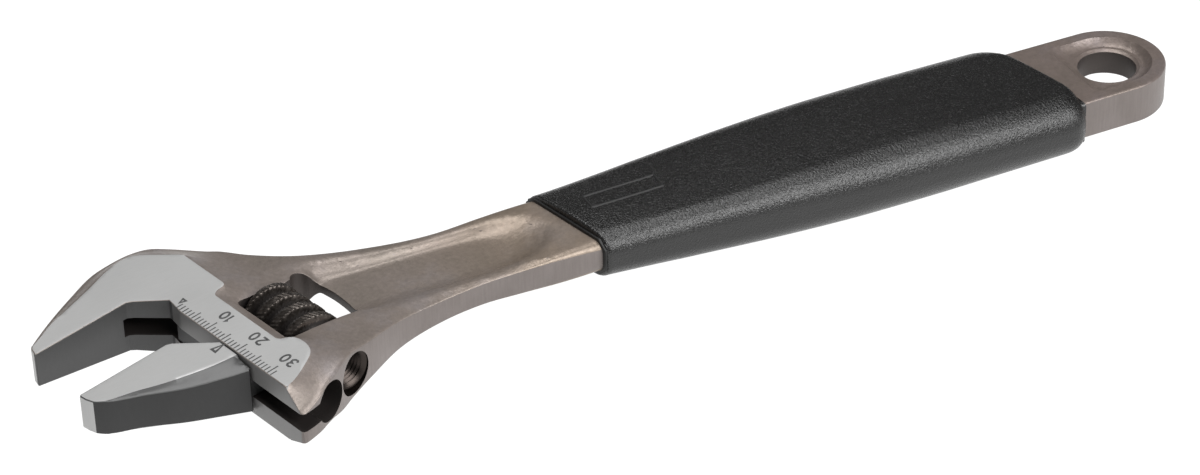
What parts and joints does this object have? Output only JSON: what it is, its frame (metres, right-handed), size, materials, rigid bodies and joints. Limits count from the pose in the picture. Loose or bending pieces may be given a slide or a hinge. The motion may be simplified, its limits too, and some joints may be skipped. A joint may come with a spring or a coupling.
{
  "type": "adjustable wrench",
  "caption": "Adjustable wrench with an offset head, a worm-driven sliding jaw, a graduated face, a swelling two-part soft grip and a hang hole.",
  "frame": {"origin": "centre of the hang hole on the wrench's mid-plane", "axes": "+X along the handle from the head to the hang ring, +Z out of the scale face, and +Y towards the fixed jaw's side"},
  "size_m": [0.2569, 0.0642, 0.0156],
  "materials": {
    "forged_steel": "satin plated forging with ground faces",
    "ground_steel": "fine ground",
    "black_steel": "black oxide",
    "spring_steel": "bright wire",
    "hard_plastic": "moulded matte",
    "soft_rubber": "fine grained matte"
  },
  "bodies": {
    "wrench_body": {"body": "forged_steel", "grip_core": "hard_plastic", "grip_cover": "soft_rubber", "worm_pin": "black_steel", "worm_spring": "spring_steel"},
    "jaw": {"sliding_jaw": "ground_steel"},
    "worm": {"worm_knurl": "black_steel"}
  },
  "joints": [
    {"name": "jaw_slide", "type": "slide", "parent": "wrench_body", "child": "jaw", "axis": [0.2588, -0.9659, 0], "range_m": [-0.0168, 0.0141]},
    {"name": "worm_spin", "type": "hinge", "parent": "wrench_body", "child": "worm", "pos_m": [-0.19383, -0.00459, 0], "axis": [0.2588, -0.9659, 0], "range_deg": [-1325, 1108]}
  ],
  "couplings": [
    {"joint": "worm_spin", "follows": "jaw_slide", "rad_per_m": 1365.9}
  ]
}
